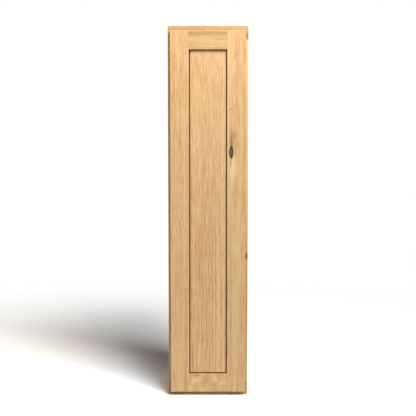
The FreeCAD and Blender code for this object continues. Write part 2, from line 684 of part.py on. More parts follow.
def hinge_parts():
    """The hinges and their screws, by name."""
    pieces = {
        "hinge_cup": hinge_cup(),
        "hinge_pin": hinge_pin(),
        "hinge_arm": hinge_arm(),
        "hinge_plate": mounting_plate(),
        "hinge_damper": damper(),
    }
    parts = {}
    for index, height in enumerate(hinge_heights()):
        for name, piece in pieces.items():
            parts[f"{level_name(index, HINGE_COUNT)}_{name}"] = piece.translated(vector(0, 0, height))
    parts["hinge_plate_screws"] = Part.makeCompound(at_each_hinge(plate_screws()))
    parts["hinge_arm_screws"] = Part.makeCompound(at_each_hinge([arm_screw()]))
    parts["hinge_cup_screws"] = Part.makeCompound(at_each_hinge(cup_screws()))
    return parts


def main():
    """Builds every piece and writes each to its own file."""
    os.makedirs("parts", exist_ok=True)
    for group in (case_parts(), door_parts(), hinge_parts()):
        for name, shape in group.items():
            shape.exportStep(f"parts/{name}.step")


main()
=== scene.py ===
"""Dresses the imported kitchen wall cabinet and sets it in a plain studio.

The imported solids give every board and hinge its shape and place. This script gives them lacquered
wood with grain, pores and knots, plywood edges, nickel plate, plastic and rubber. It swaps the plain
screws, bumpers and dampers for detailed ones, and adds the floor, the light and the camera.
"""
from __future__ import annotations

import logging
import math
from dataclasses import dataclass, replace
from enum import Enum
from typing import Any, Callable, Iterable

import bmesh
import bpy
from mathutils import Matrix, Vector

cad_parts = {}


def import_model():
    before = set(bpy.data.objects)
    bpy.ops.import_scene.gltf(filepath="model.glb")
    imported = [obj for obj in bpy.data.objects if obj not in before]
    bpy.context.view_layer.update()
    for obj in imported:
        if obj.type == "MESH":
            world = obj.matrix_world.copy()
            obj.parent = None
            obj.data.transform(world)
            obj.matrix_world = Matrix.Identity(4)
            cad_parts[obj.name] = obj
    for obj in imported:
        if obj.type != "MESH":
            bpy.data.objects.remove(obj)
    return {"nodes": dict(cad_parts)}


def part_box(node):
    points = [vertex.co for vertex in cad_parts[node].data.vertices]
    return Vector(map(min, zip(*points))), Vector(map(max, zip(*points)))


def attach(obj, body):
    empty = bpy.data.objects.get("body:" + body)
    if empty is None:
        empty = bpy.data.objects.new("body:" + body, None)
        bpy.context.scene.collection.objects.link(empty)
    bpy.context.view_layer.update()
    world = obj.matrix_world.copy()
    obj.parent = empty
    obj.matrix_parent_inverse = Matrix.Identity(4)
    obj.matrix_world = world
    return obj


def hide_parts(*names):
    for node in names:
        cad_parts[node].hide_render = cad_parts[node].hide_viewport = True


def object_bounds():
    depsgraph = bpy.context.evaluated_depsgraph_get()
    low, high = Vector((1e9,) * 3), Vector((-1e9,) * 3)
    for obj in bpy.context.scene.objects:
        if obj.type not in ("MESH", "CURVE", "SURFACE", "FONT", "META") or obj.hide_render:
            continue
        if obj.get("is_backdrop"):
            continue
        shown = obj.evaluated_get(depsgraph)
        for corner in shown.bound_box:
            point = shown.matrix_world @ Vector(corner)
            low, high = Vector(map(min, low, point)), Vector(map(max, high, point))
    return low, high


LOG = logging.getLogger("cabinet")
MM = 0.001
WELD = 0.001 * MM
NOISE_MIDDLE = 0.5
Colour = tuple[float, float, float, float]
Triple = tuple[float, float, float]
Pair = tuple[float, float]


def linear(level: int) -> float:
    """One channel of a screen's colour, 0 to 255, as a share of light by the screen's standard curve."""
    share = level / 255
    return share / 12.92 if share <= 0.04045 else ((share + 0.055) / 1.055) ** 2.4


def srgb(red: int, green: int, blue: int) -> Colour:
    """A shader's linear colour from one as it is seen on a screen."""
    return (linear(red), linear(green), linear(blue), 1.0)


def grey(level: float) -> Colour:
    """A neutral linear colour."""
    return (level, level, level, 1.0)


class Signal:
    """One output socket of a shader, for use in ordinary arithmetic."""

    def __init__(self, graph: Graph, socket: bpy.types.NodeSocket) -> None:
        """Keeps the socket and the graph that its followers are added to."""
        self.graph = graph
        self.socket = socket

    def _math(self, operation: str, *values: Value, clamp: bool = False) -> Signal:
        """Adds a Math node, whose result may be held between 0 and 1."""
        settings = {"operation": operation, "use_clamp": clamp}
        return self.graph.node("ShaderNodeMath", settings, dict(enumerate(values)))

    def __add__(self, other: Value) -> Signal:
        """Sum, also with a number on the left."""
        return self._math("ADD", self, other)

    __radd__ = __add__

    def __sub__(self, other: Value) -> Signal:
        """Difference."""
        return self._math("SUBTRACT", self, other)

    def __rsub__(self, other: Value) -> Signal:
        """Difference from a number on the left."""
        return self._math("SUBTRACT", other, self)

    def __mul__(self, other: Value) -> Signal:
        """Product, also with a number on the left."""
        return self._math("MULTIPLY", self, other)

    __rmul__ = __mul__

    def __truediv__(self, other: Value) -> Signal:
        """Quotient."""
        return self._math("DIVIDE", self, other)

    def __rtruediv__(self, other: Value) -> Signal:
        """A number on the left, divided by this."""
        return self._math("DIVIDE", other, self)

    def __abs__(self) -> Signal:
        """Size without its sign."""
        return self._math("ABSOLUTE", self)

    def at_least(self, floor: Value) -> Signal:
        """The larger of this and a floor."""
        return self._math("MAXIMUM", self, floor)

    def held(self) -> Signal:
        """This, held between 0 and 1."""
        return self._math("ADD", self, 0.0, clamp=True)

    def falling(self) -> Signal:
        """A bell: 1 where this is 0, dying away on both sides."""
        return self._math("EXPONENT", self * self * -1.0)

    def root(self) -> Signal:
        """Square root."""
        return self._math("SQRT", self)

    def zigzag(self) -> Signal:
        """A wave that runs from 0 up to 1 and back down as this grows by 2."""
        return self._math("PINGPONG", self, 1.0)

    def rise(self, low: float, high: float) -> Signal:
        """A smooth step from 0 at low to 1 at high, which falls where high is the smaller one."""
        inputs = {"Value": self, "From Min": low, "From Max": high}
        return self.graph.node("ShaderNodeMapRange", {"interpolation_type": "SMOOTHSTEP"}, inputs)


Value = float | Signal


class Graph:
    """The shader nodes of one material or world, while they are being laid out."""

    def __init__(self, owner: bpy.types.Material | bpy.types.World) -> None:
        """Empties the owner's node tree.

        Args:
            owner: The material or world that gets the nodes.
        """
        owner.use_nodes = True
        self.tree = owner.node_tree
        self.tree.nodes.clear()
        in_world = isinstance(owner, bpy.types.World)
        self.output_kind = "ShaderNodeOutputWorld" if in_world else "ShaderNodeOutputMaterial"

    def node(
        self,
        kind: str,
        settings: dict[str, Any] | None = None,
        inputs: dict[str | int, Any] | None = None,
        output: str | int = 0,
    ) -> Signal:
        """Adds any node.

        Args:
            kind: The node's type.
            settings: Its own properties, and under "stops" a colour ramp's positions and colours.
            inputs: Numbers, colours or signals for its sockets, by name or place.
            output: The socket to hand back.

        Returns:
            The chosen output, or an input where the node has no outputs.
        """
        made = self.tree.nodes.new(kind)
        for name, setting in (settings or {}).items():
            if name == "stops":
                self._set_stops(made.color_ramp.elements, setting)
            else:
                setattr(made, name, setting)
        for name, value in (inputs or {}).items():
            if isinstance(value, Signal):
                self.tree.links.new(value.socket, made.inputs[name])
            else:
                made.inputs[name].default_value = value
        return Signal(self, (made.outputs or made.inputs)[output])

    @staticmethod
    def _set_stops(elements: Any, stops: Iterable[tuple[float, Colour]]) -> None:
        """Gives a colour ramp its stops.

        Args:
            elements: The ramp's elements, two at first.
            stops: Positions with their colours.
        """
        for index, (position, colour) in enumerate(stops):
            element = elements[index] if index < 2 else elements.new(position)
            element.position = position
            element.color = colour

    def mix(self, share: Value, first: Any, second: Any, blend: str = "MIX") -> Signal:
        """Blends two colours; share is how much of the second one shows."""
        settings = {"data_type": "RGBA", "blend_type": blend}
        return self.node("ShaderNodeMix", settings, {0: share, 6: first, 7: second}, 2)

    def mix_shader(self, share: Signal, first: Signal, second: Signal) -> Signal:
        """Blends two shaders; share is how much of the second one shows."""
        return self.node("ShaderNodeMixShader", inputs={0: share, 1: first, 2: second})

    def parts(self, vector: Signal) -> tuple[Signal, Signal, Signal]:
        """The three numbers of a vector."""
        made = self.node("ShaderNodeSeparateXYZ", inputs={0: vector}).socket.node
        return tuple(Signal(self, socket) for socket in made.outputs)

    def place(self) -> tuple[Signal, Signal, Signal]:
        """The place on the object, in metres, which moves with the object."""
        return self.parts(self.node("ShaderNodeTexCoord", output="Object"))

    def facing(self) -> tuple[Signal, Signal, Signal]:
        """The direction that the surface faces on the object."""
        return self.parts(self.node("ShaderNodeTexCoord", output="Normal"))

    def noise(self, x: Value, y: Value, z: Value, detail: float = 2.0) -> Signal:
        """Soft noise about NOISE_MIDDLE, by a place in noise cells and its octaves of finer noise."""
        place = self.node("ShaderNodeCombineXYZ", inputs={0: x, 1: y, 2: z})
        return self.node("ShaderNodeTexNoise", inputs={"Vector": place, "Scale": 1.0, "Detail": detail})

    def even_noise(self, cells: float, detail: float = 2.0) -> Signal:
        """Soft noise with as many cells in a metre each way."""
        return self.noise(*(axis * cells for axis in self.place()), detail)

    def relief(self, height: Signal, depth: float, strength: float) -> Signal:
        """A normal bent by fine relief, whose height of 0 to 1 stands for a depth in metres."""
        return self.node("ShaderNodeBump", inputs={"Strength": strength, "Distance": depth, "Height": height})

    def seen(self) -> Signal:
        """Finds the rays by which the stage is seen, straight on or in a reflection.

        Returns:
            A mask, 1 for those rays.
        """
        kinds = ("Is Camera Ray", "Is Glossy Ray", "Is Transmission Ray")
        camera, glossy, clear = (self.node("ShaderNodeLightPath", output=kind) for kind in kinds)
        return camera.at_least(glossy).at_least(clear)

    def surface(self, shader: Signal) -> None:
        """Ends the graph in its output node."""
        self.node(self.output_kind, inputs={"Surface": shader})


class Axis(Enum):
    """A direction of the shared frame."""

    ACROSS = 0
    DEEP = 1
    UP = 2


class Grain(Enum):
    """The way a board's grain runs: the frame's axes along it, across its face and into it."""

    UPRIGHT = (2, 0, 1)
    LEVEL = (0, 2, 1)


@dataclass(frozen=True)
class Spot:
    """A place on a board: metres along its grain, across its face and into it."""

    along: Signal
    across: Signal
    depth: Signal


@dataclass(frozen=True)
class GrainLayer:
    """Noise drawn out along a board, by how many cells it has in a metre each way."""

    across: float
    depth: float
    along: float
    detail: float = 2.0

    def noise(self, spot: Spot) -> Signal:
        """The layer's noise, about NOISE_MIDDLE."""
        cells = (spot.across * self.across, spot.depth * self.depth, spot.along * self.along)
        return spot.across.graph.noise(*cells, self.detail)

    def swing(self, spot: Spot) -> Signal:
        """The layer's noise, about 0."""
        return self.noise(spot) - NOISE_MIDDLE


@dataclass(frozen=True)
class Knot:
    """A knot or fleck that the grain flows round, by its place and half size on the board's face."""

    across: float
    along: float
    half_width: float
    half_length: float
    heart: Colour = srgb(104, 84, 64)
    rim: Colour = srgb(36, 25, 17)
    strength: float = 1.0
    # Its outline, from the rim's outer edge inwards.
    point: float = 0.5
    roundness: float = 0.45
    rim_ends: Pair = (1.4, 0.9)
    heart_ends: Pair = (0.6, 0.2)
    # The strokes in its heart and the crumbs that roughen its edge, by their noise cells across and
    # along and by the stride that sets each knot's noise apart.
    stroke_cells: Triple = (3.5, 0.8, 30.0)
    stroke_ends: Pair = (0.4, 0.6)
    crumb_cells: Triple = (700.0, 260.0, 100.0)
    crumb_share: float = 0.5
    # The stained tails along the grain: how far they reach, their shift, and a narrow and a broad stain.
    tail: float = 0.0
    tail_lift: float = 0.0
    stain: Colour = srgb(146, 88, 46)
    narrow_width: float = 0.55
    narrow_ragged: float = 0.8
    narrow_share: float = 0.95
    broad_width: float = 1.5
    broad_aside: float = 0.6
    broad_length: float = 0.8
    broad_share: float = 0.35
    # The pale wood below it, placed and sized in the knot's own half sizes.
    glow: float = 0.0
    glow_below: float = 2.6
    glow_aside: float = 0.8
    glow_spread: float = 1.9
    glow_colour: Colour = srgb(254, 219, 166)

    def _offsets(self, spot: Spot) -> tuple[Signal, Signal]:
        """How far aside of the knot and past it a spot is, in the knot's half sizes."""
        return (spot.across - self.across) / self.half_width, (spot.along - self.along) / self.half_length

    def part_grain(self, flowing: Signal, spot: Spot) -> Signal:
        """Bends the grain round the knot, as water flows round a stone.

        Args:
            flowing: The place across the grain so far.
            spot: The true place on the board.

        Returns:
            The bent place across the grain.
        """
        off, past = self._offsets(spot)
        reach = (off * off + past * past).at_least(1.0)
        return flowing - (spot.across - self.across) / reach

    def paint(self, colour: Signal, spot: Spot) -> Signal:
        """Paints the knot with its rim, its stained tails and the pale wood below it.

        Args:
            colour: The board's colour so far.
            spot: The place on the board.

        Returns:
            The colour with the knot.
        """
        graph = colour.graph
        off, past = self._offsets(spot)
        wide, long, stride = self.crumb_cells
        crumbs = graph.noise(spot.across * wide, spot.along * long, self.across * stride)
        ragged = (crumbs - NOISE_MIDDLE) * self.crumb_share
        if self.tail:
            beyond = (spot.along - self.along) / self.tail - self.tail_lift
            narrow = ((off + ragged * self.narrow_ragged) / self.narrow_width).falling() * beyond.falling()
            beside = ((off - self.broad_aside) / self.broad_width).falling()
            broad = beside * (beyond / self.broad_length).falling()
            colour = graph.mix(broad * self.broad_share, colour, self.stain)
            colour = graph.mix(narrow * self.narrow_share, colour, self.stain)
        if self.glow:
            below = ((past + self.glow_below) / self.glow_spread).falling()
            beside = ((off - self.glow_aside) / self.glow_spread).falling()
            colour = graph.mix(below * beside * self.glow, colour, self.glow_colour)
        wide, long, stride = self.stroke_cells
        strokes = graph.noise(off * wide, past * long, self.along * stride)
        heart = graph.mix(strokes.rise(*self.stroke_ends), self.rim, self.heart)
        waist = abs(off) + past * past * self.point
        reach = waist * waist + past * past * self.roundness + ragged
        colour = graph.mix(reach.rise(*self.rim_ends) * self.strength, colour, self.rim)
        return graph.mix(reach.rise(*self.heart_ends) * self.strength, colour, heart)


@dataclass(frozen=True)
class Finish:
    """A finish by its name; each kind of finish works out its own shader inputs."""

    name: str

    def inputs(self, graph: Graph) -> dict[str, Any]:
        """The inputs of the finish's shader."""
        raise NotImplementedError

    def material(self) -> bpy.types.Material:
        """Makes the material.

        Returns:
            The finished material.
        """
        material = bpy.data.materials.new(self.name)
        graph = Graph(material)
        graph.surface(graph.node("ShaderNodeBsdfPrincipled", inputs=self.inputs(graph)))
        return material


@dataclass(frozen=True)
class Tones:
    """The colours of a board's light, middle and dark streaks."""

    light: Colour = srgb(236, 205, 155)
    middle: Colour = srgb(226, 189, 140)
    dark: Colour = srgb(203, 152, 96)


@dataclass(frozen=True)
class Wood(Finish):
    """Clear-lacquered wood with streaks, pores, blotches and knots."""

    grain: Grain
    # Moves the board to its own part of the noise: metres across, and strides along.
    seed: float
    tones: Tones = Tones()
    tone_stops: Triple = (0.22, NOISE_MIDDLE, 0.78)
    roughness: float = 0.5
    lacquer: float = 0.1
    lacquer_roughness: float = 0.3
    knots: tuple[Knot, ...] = ()
    seed_stride: float = 1.7
    drift_layer: GrainLayer = GrainLayer(7.0, 7.0, 1.4)
    wander: float = 7.0 * MM
    band_layer: GrainLayer = GrainLayer(75.0, 50.0, 1.8, 1.0)
    band_share: float = 0.2
    streak_layer: GrainLayer = GrainLayer(520.0, 520.0, 14.0)
    streak_share: float = 0.9
    fibre_layer: GrainLayer = GrainLayer(1300.0, 1300.0, 40.0)
    fibre_share: float = 0.7
    line_layer: GrainLayer = GrainLayer(340.0, 150.0, 1.5, 1.0)
    line_share: float = 0.55
    # Where given, the long lines are full below the first height and gone above the second.
    lines_below: Pair | None = None
    blotch_cells: float = 20.0
    blotch_stretch: float = 2.2
    blotch_share: float = 0.2
    hue_layer: GrainLayer = GrainLayer(190.0, 190.0, 5.0)
    hue_ends: Pair = (0.35, 0.65)
    hue_share: float = 0.7
    rosy: Colour = srgb(255, 248, 248)
    golden: Colour = srgb(253, 254, 243)
    pore_layer: GrainLayer = GrainLayer(900.0, 900.0, 28.0, 1.0)
    pore_ends: Pair = (0.6, 0.72)
    pore_share: float = 0.35
    pore_roughness: float = 0.15
    pore: Colour = srgb(140, 98, 58)
    relief_level: float = 0.6
    fibre_relief: float = 0.6
    streak_relief: float = 0.4
    pore_relief: float = 0.5
    relief_depth: float = 0.15 * MM
    relief_strength: float = 0.5
    # The sawn ends, known by how squarely they face along the grain, and their speckles, by cells
    # across and into the board and by a stride for its seed.
    end_facing: Pair = (0.75, 0.95)
    end_share: float = 0.85
    end_roughness: float = 0.2
    end: Colour = srgb(168, 122, 76)
    speckle_cells: Triple = (1400.0, 1400.0, 9.0)
    speckle_detail: float = 3.0
    speckle_ends: Pair = (0.3, 0.7)
    # The fine dark lines where a rail meets its neighbours, by their places along it.
    joints: tuple[float, ...] = ()
    joint_width: float = 0.5 * MM
    joint_share: float = 0.7
    joint_line: Colour = srgb(120, 84, 50)
    # Painted shade darkens the groove round a panel's field, from the depth that it starts at.
    stained_behind: float | None = None
    shade_edge: float = 0.5 * MM
    shade_facing: Pair = (0.6, 0.3)
    shade_share: float = 0.92
    # The colour of the painted shade in the groove.
    stain: Colour = srgb(38, 26, 17)
    # A painted highlight: a pale strip on a board's front, by the place across that it starts at.
    sapwood_beyond: float | None = None
    highlight_edge: float = 2 * MM
    highlight_facing: Pair = (-0.6, -0.9)
    highlight_share: float = 0.75
    sapwood: Colour = srgb(241, 219, 157)

    def inputs(self, graph: Graph) -> dict[str, Any]:
        """Lays out the board's colour, roughness and relief.

        Args:
            graph: The material's graph.

        Returns:
            The shader's inputs.
        """
        place = graph.place()
        facing = graph.facing()
        spot = Spot(*(place[axis] for axis in self.grain.value))
        endwise, _, inward = (facing[axis] for axis in self.grain.value)
        colour, height, pores = self._figure(spot)
        # Painted highlight: a pale strip on the board's front, standing in for light on the reveal beside the
        # door.
        if self.sapwood_beyond is not None:
            highlight_strip = spot.across.rise(self.sapwood_beyond - self.highlight_edge, self.sapwood_beyond)
            pale = highlight_strip * inward.rise(*self.highlight_facing)
            colour = graph.mix(pale * self.highlight_share, colour, self.sapwood)
        for knot in self.knots:
            colour = knot.paint(colour, spot)
        for joint in self.joints:
            line = ((spot.along - joint) / self.joint_width).falling()
            colour = graph.mix(line * self.joint_share, colour, self.joint_line)
        # Painted shade in the groove round the panel's field, on surfaces that do not face the back.
        if self.stained_behind is not None:
            deep = spot.depth.rise(self.stained_behind, self.stained_behind + self.shade_edge)
            stained = deep * inward.rise(*self.shade_facing)
            colour = graph.mix(stained * self.shade_share, colour, self.stain)
        ends = abs(endwise).rise(*self.end_facing)
        return {
            "Base Color": self._sawn_edges(colour, ends, spot),
            "Roughness": (self.roughness + pores * self.pore_roughness + ends * self.end_roughness).held(),
            "Coat Weight": self.lacquer,
            "Coat Roughness": self.lacquer_roughness,
            "Normal": graph.relief(height, self.relief_depth, self.relief_strength),
        }

    def _figure(self, spot: Spot) -> tuple[Signal, Signal, Signal]:
        """Lays out the grain.

        Args:
            spot: The place on the board.

        Returns:
            The colour, the relief's height and the pores' mask.
        """
        graph = spot.across.graph
        flowing = spot.across
        for knot in self.knots:
            flowing = knot.part_grain(flowing, spot)
        board = Spot(spot.along + self.seed * self.seed_stride, flowing + self.seed, spot.depth)
        drift = self.drift_layer.swing(board) * self.wander
        wavy = replace(board, across=board.across + drift)
        bands = self.band_layer.swing(wavy)
        streaks = self.streak_layer.swing(wavy)
        fibres = self.fibre_layer.swing(wavy)
        lines = self.line_layer.swing(wavy)
        if self.lines_below is not None:
            lines = lines * spot.along.rise(*reversed(self.lines_below))
        long_cells = self.blotch_cells / self.blotch_stretch
        blotches = GrainLayer(self.blotch_cells, self.blotch_cells, long_cells).swing(board)
        tone = (
            NOISE_MIDDLE
            + bands * self.band_share
            + streaks * self.streak_share
            + fibres * self.fibre_share
            + lines * self.line_share
            + blotches * self.blotch_share
        )
        stops = tuple(zip(self.tone_stops, (self.tones.dark, self.tones.middle, self.tones.light)))
        colour = graph.node("ShaderNodeValToRGB", {"stops": stops}, {"Fac": tone})
        hue = self.hue_layer.noise(wavy).rise(*self.hue_ends)
        tint = graph.mix(hue, self.rosy, self.golden)
        colour = graph.mix(self.hue_share, colour, tint, "MULTIPLY")
        pores = self.pore_layer.noise(wavy).rise(*self.pore_ends)
        colour = graph.mix(pores * self.pore_share, colour, self.pore)
        height = fibres * self.fibre_relief + streaks * self.streak_relief + self.relief_level
        return colour, (height - pores * self.pore_relief).held(), pores

    def _sawn_edges(self, colour: Signal, ends: Signal, spot: Spot) -> Signal:
        """Darkens sawn ends and speckles them with pores.

        Args:
            colour: The board's colour so far.
            ends: Mask of the sawn ends.
            spot: The place on the board.

        Returns:
            The colour with its end grain.
        """
        graph = colour.graph
        wide, deep, stride = self.speckle_cells
        speckle = graph.noise(spot.across * wide, spot.depth * deep, self.seed * stride, self.speckle_detail)
        dots = graph.mix(speckle.rise(*self.speckle_ends), self.end, self.tones.middle)
        return graph.mix(ends * self.end_share, colour, dots)


@dataclass(frozen=True)
class Plywood(Wood):
    """Veneered plywood, whose plies show on the edges across its thickness."""

    thickness: Axis = Axis.ACROSS
    ply: float = 1.8 * MM
    ply_ends: Pair = (0.35, 0.65)
    ply_light: Colour = srgb(214, 180, 136)
    ply_dark: Colour = srgb(158, 118, 78)
    edge_facing: Pair = (0.5, 0.2)
    rough_cells: float = 300.0
    rough_share: float = 0.6

    def _sawn_edges(self, colour: Signal, ends: Signal, spot: Spot) -> Signal:
        """Shows the plies on every edge.

        Args:
            colour: The veneer's colour.
            ends: Mask of the sawn ends, not needed here.
            spot: The place on the board, not needed here.

        Returns:
            The colour with its edges.
        """
        graph = colour.graph
        axis = self.thickness.value
        edges = abs(graph.facing()[axis]).rise(*self.edge_facing)
        rough = (graph.even_noise(self.rough_cells) - NOISE_MIDDLE) * self.rough_share
        plies = (graph.place()[axis] / self.ply + rough).zigzag().rise(*self.ply_ends)
        return graph.mix(edges, colour, graph.mix(plies, self.ply_dark, self.ply_light))


@dataclass(frozen=True)
class PlatedSteel(Finish):
    """Pressed steel with a satin plate, cloudy and finely scratched."""

    name: str = "satin_nickel"
    bright: Colour = srgb(206, 203, 197)
    dull: Colour = srgb(162, 158, 150)
    roughness: float = 0.26
    cloud_cells: float = 120.0
    cloud_detail: float = 3.0
    cloud_ends: Pair = (0.3, 0.7)
    cloud_roughness: float = 0.12
    scratch_layer: GrainLayer = GrainLayer(2600.0, 2600.0, 260.0)
    scratch_ends: Pair = (0.6, 0.8)
    scratch_share: float = 0.25
    scratch_roughness: float = 0.08
    relief_depth: float = 0.02 * MM
    relief_strength: float = 0.5

    def inputs(self, graph: Graph) -> dict[str, Any]:
        """Lays out the plate's clouds and its scratches, which run up and down.

        Args:
            graph: The material's graph.

        Returns:
            The shader's inputs.
        """
        across, deep, up = graph.place()
        cloud = graph.even_noise(self.cloud_cells, self.cloud_detail)
        scratch = self.scratch_layer.noise(Spot(up, across, deep))
        colour = graph.mix(cloud.rise(*self.cloud_ends), self.dull, self.bright)
        worn = scratch.rise(*self.scratch_ends) * self.scratch_share
        return {
            "Base Color": graph.mix(worn, colour, self.dull),
            "Metallic": 1.0,
            "Roughness": self.roughness + cloud * self.cloud_roughness + scratch * self.scratch_roughness,
            "Normal": graph.relief(scratch, self.relief_depth, self.relief_strength),
        }


@dataclass(frozen=True)
class Moulded(Finish):
    """A moulded plastic or rubber with a fine grain left by its mould."""

    colour: Colour
    worn: Colour
    roughness: float
    clearness: float = 0.0
    grit_cells: float = 3200.0
    grit_roughness: float = 0.12
    cloud_cells: float = 260.0
    cloud_ends: Pair = (0.35, 0.75)
    relief_depth: float = 0.03 * MM
    relief_strength: float = 0.4

    def inputs(self, graph: Graph) -> dict[str, Any]:
        """Lays out the mould's grain and the worn clouds.

        Args:
            graph: The material's graph.

        Returns:
            The shader's inputs.
        """
        grit = graph.even_noise(self.grit_cells)
        cloud = graph.even_noise(self.cloud_cells)
        return {
            "Base Color": graph.mix(cloud.rise(*self.cloud_ends), self.colour, self.worn),
            "Roughness": self.roughness + grit * self.grit_roughness,
            "Transmission Weight": self.clearness,
            "Normal": graph.relief(grit, self.relief_depth, self.relief_strength),
        }


@dataclass(frozen=True)
class Island:
    """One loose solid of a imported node, by its box."""

    low: Vector
    high: Vector

    @property
    def middle(self) -> Vector:
        """The middle of its box."""
        return (self.low + self.high) / 2

    @property
    def size(self) -> Vector:
        """The box's size."""
        return self.high - self.low


def islands(node: bpy.types.Object) -> list[Island]:
    """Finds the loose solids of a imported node.

    Args:
        node: The node's object.

    Returns:
        One island for each solid, lowest first.
    """
    mesh = bmesh.new()
    mesh.from_mesh(node.data)
    bmesh.ops.remove_doubles(mesh, verts=mesh.verts, dist=WELD)
    left = set(mesh.verts)
    found = []
    while left:
        front = [left.pop()]
        member = list(front)
        while front:
            vertex = front.pop()
            near = {edge.other_vert(vertex) for edge in vertex.link_edges} & left
            left -= near
            front.extend(near)
            member.extend(near)
        axes = list(zip(*(vertex.co for vertex in member)))
        found.append(Island(Vector(map(min, axes)), Vector(map(max, axes))))
    mesh.free()
    return sorted(found, key=lambda island: tuple(round(v, 6) for v in reversed(island.middle)))


def ring_skin(mesh: bmesh.types.BMesh, rings: list[list[Vector]], place: Matrix) -> None:
    """Skins a row of rings, each with as many points, and closes its two ends.

    Args:
        mesh: The mesh that gets the skin.
        rings: The rings, from one end to the other.
        place: Where the piece goes.
    """
    rows = [[mesh.verts.new(place @ point) for point in ring] for ring in rings]
    count = len(rows[0])
    for lower, upper in zip(rows, rows[1:]):
        for index in range(count):
            after = (index + 1) % count
            mesh.faces.new((lower[index], lower[after], upper[after], upper[index]))
    mesh.faces.new(rows[0][::-1])
    mesh.faces.new(rows[-1])


def lathe(profile: Iterable[Pair], sides: int) -> list[list[Vector]]:
    """Turns a profile of radii and heights about Z, into rings of points."""
    turns = [2 * math.pi * index / sides for index in range(sides)]
    return [[Vector((r * math.cos(t), r * math.sin(t), z)) for t in turns] for r, z in profile]


def turned(outward: Vector, origin: Vector) -> Matrix:
    """The placement that carries Z to a direction and the origin to a point."""
    return Matrix.Translation(origin) @ outward.to_track_quat("Z", "Y").to_matrix().to_4x4()


@dataclass
class Cabinet:
    """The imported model: its nodes, and the ways that they are dressed or replaced."""

    nodes: dict[str, bpy.types.Object]
    smooth_below: float = math.radians(35.0)

    def dress(self, finish: Finish, *names: str) -> None:
        """Puts one finish on some nodes.

        Args:
            finish: The finish.
            names: The nodes.
        """
        material = finish.material()
        for name in names:
            for slot in self.nodes[name].material_slots:
                slot.material = material
            LOG.info("dressed %s in %s", name, finish.name)

    def board(self, node: str, grain: Grain, seed: float, **looks: Any) -> None:
        """Dresses one board in wood of its own."""
        self.dress(Wood(f"{node}_wood", grain, seed, **looks), node)

    def replace(
        self,
        node: str,
        detail: str,
        body: str,
        mesh: bmesh.types.BMesh,
        material: bpy.types.Material,
        slot: str,
    ) -> None:
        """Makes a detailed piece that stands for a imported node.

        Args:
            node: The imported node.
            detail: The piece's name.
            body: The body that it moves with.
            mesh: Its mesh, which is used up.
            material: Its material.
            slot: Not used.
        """
        bmesh.ops.recalc_face_normals(mesh, faces=mesh.faces)
        data = bpy.data.meshes.new(detail)
        mesh.to_mesh(data)
        mesh.free()
        data.shade_smooth()
        data.set_sharp_from_angle(angle=self.smooth_below)
        data.materials.append(material)
        made = bpy.data.objects.new(detail, data)
        bpy.context.scene.collection.objects.link(made)
        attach(made, body)
        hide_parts(node)
        LOG.info("made %s", detail)


@dataclass
class Case:
    """The plywood box behind the face frame, with its shelves."""

    cabinet: Cabinet
    veneer_tones: Tones = Tones(srgb(242, 206, 158), srgb(229, 191, 142), srgb(203, 160, 110))
    veneer_pores: float = 0.25
    rail_tones: Tones = Tones(srgb(226, 190, 144), srgb(208, 170, 122), srgb(180, 138, 92))
    rail_roughness: float = 0.6

    def build(self) -> None:
        """Dresses the sides, decks, shelves, back and hanging rails."""
        self._veneer(Grain.UPRIGHT, Axis.ACROSS, 2.3, "left_side", "right_side")
        self._veneer(Grain.LEVEL, Axis.UP, 5.1, "bottom_panel", "top_panel")
        self._veneer(Grain.LEVEL, Axis.UP, 8.4, "lower_shelf", "middle_shelf", "upper_shelf")
        self._veneer(Grain.UPRIGHT, Axis.DEEP, 12.6, "back_panel")
        bare = {"tones": self.rail_tones, "roughness": self.rail_roughness, "lacquer": 0.0}
        self.cabinet.board("lower_hanging_rail", Grain.LEVEL, 14.2, **bare)
        self.cabinet.board("upper_hanging_rail", Grain.LEVEL, 15.2, **bare)

    def _veneer(self, grain: Grain, thickness: Axis, first_seed: float, *names: str) -> None:
        """Dresses some panels in veneer, each with its own figure.

        Args:
            grain: The way that their grain runs.
            thickness: The axis that they are thin along.
            first_seed: The first panel's seed.
            names: The panels' nodes.
        """
        looks = {"tones": self.veneer_tones, "pore_share": self.veneer_pores, "thickness": thickness}
        for index, name in enumerate(names):
            self.cabinet.dress(Plywood(f"{name}_veneer", grain, first_seed + index, **looks), name)


@dataclass
class FaceFrame:
    """The solid frame on the front of the case, with the small knots that show beside the door."""

    cabinet: Cabinet
    upper_tones: Tones = Tones(srgb(215, 181, 132), srgb(202, 167, 118), srgb(173, 131, 84))
    lower_tones: Tones = Tones(srgb(214, 172, 116), srgb(198, 156, 102), srgb(166, 118, 68))
    corner_knot: Knot = Knot(
        across=1.036, along=0.1122, half_width=7 * MM, half_length=4 * MM,
        heart=srgb(196, 134, 68), rim=srgb(166, 104, 48),
    )
    door_top_fleck: Knot = Knot(
        across=1.055, along=-0.015, half_width=0.9 * MM, half_length=9 * MM,
        heart=srgb(128, 80, 38), rim=srgb(138, 86, 42),
    )
    edge_knot: Knot = Knot(
        across=0.1112, along=0.408, half_width=3 * MM, half_length=10 * MM,
        heart=srgb(150, 96, 50), rim=srgb(128, 78, 38),
        tail=260 * MM, tail_lift=-0.5, stain=srgb(186, 140, 90),
    )

    def build(self) -> None:
        """Dresses the frame's rails and stiles."""
        board = self.cabinet.board
        upper_knots = (self.corner_knot, self.door_top_fleck)
        door_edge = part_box("door_latch_stile")[1].x
        board("frame_upper_rail", Grain.LEVEL, 21.7, tones=self.upper_tones, knots=upper_knots)
        board("frame_lower_rail", Grain.LEVEL, 23.1, tones=self.lower_tones)
        board("frame_left_stile", Grain.UPRIGHT, 25.9)
        # The right stile gets a painted highlight on the strip that shows beside the door.
        board("frame_right_stile", Grain.UPRIGHT, 27.4, knots=(self.edge_knot,), sapwood_beyond=door_edge)


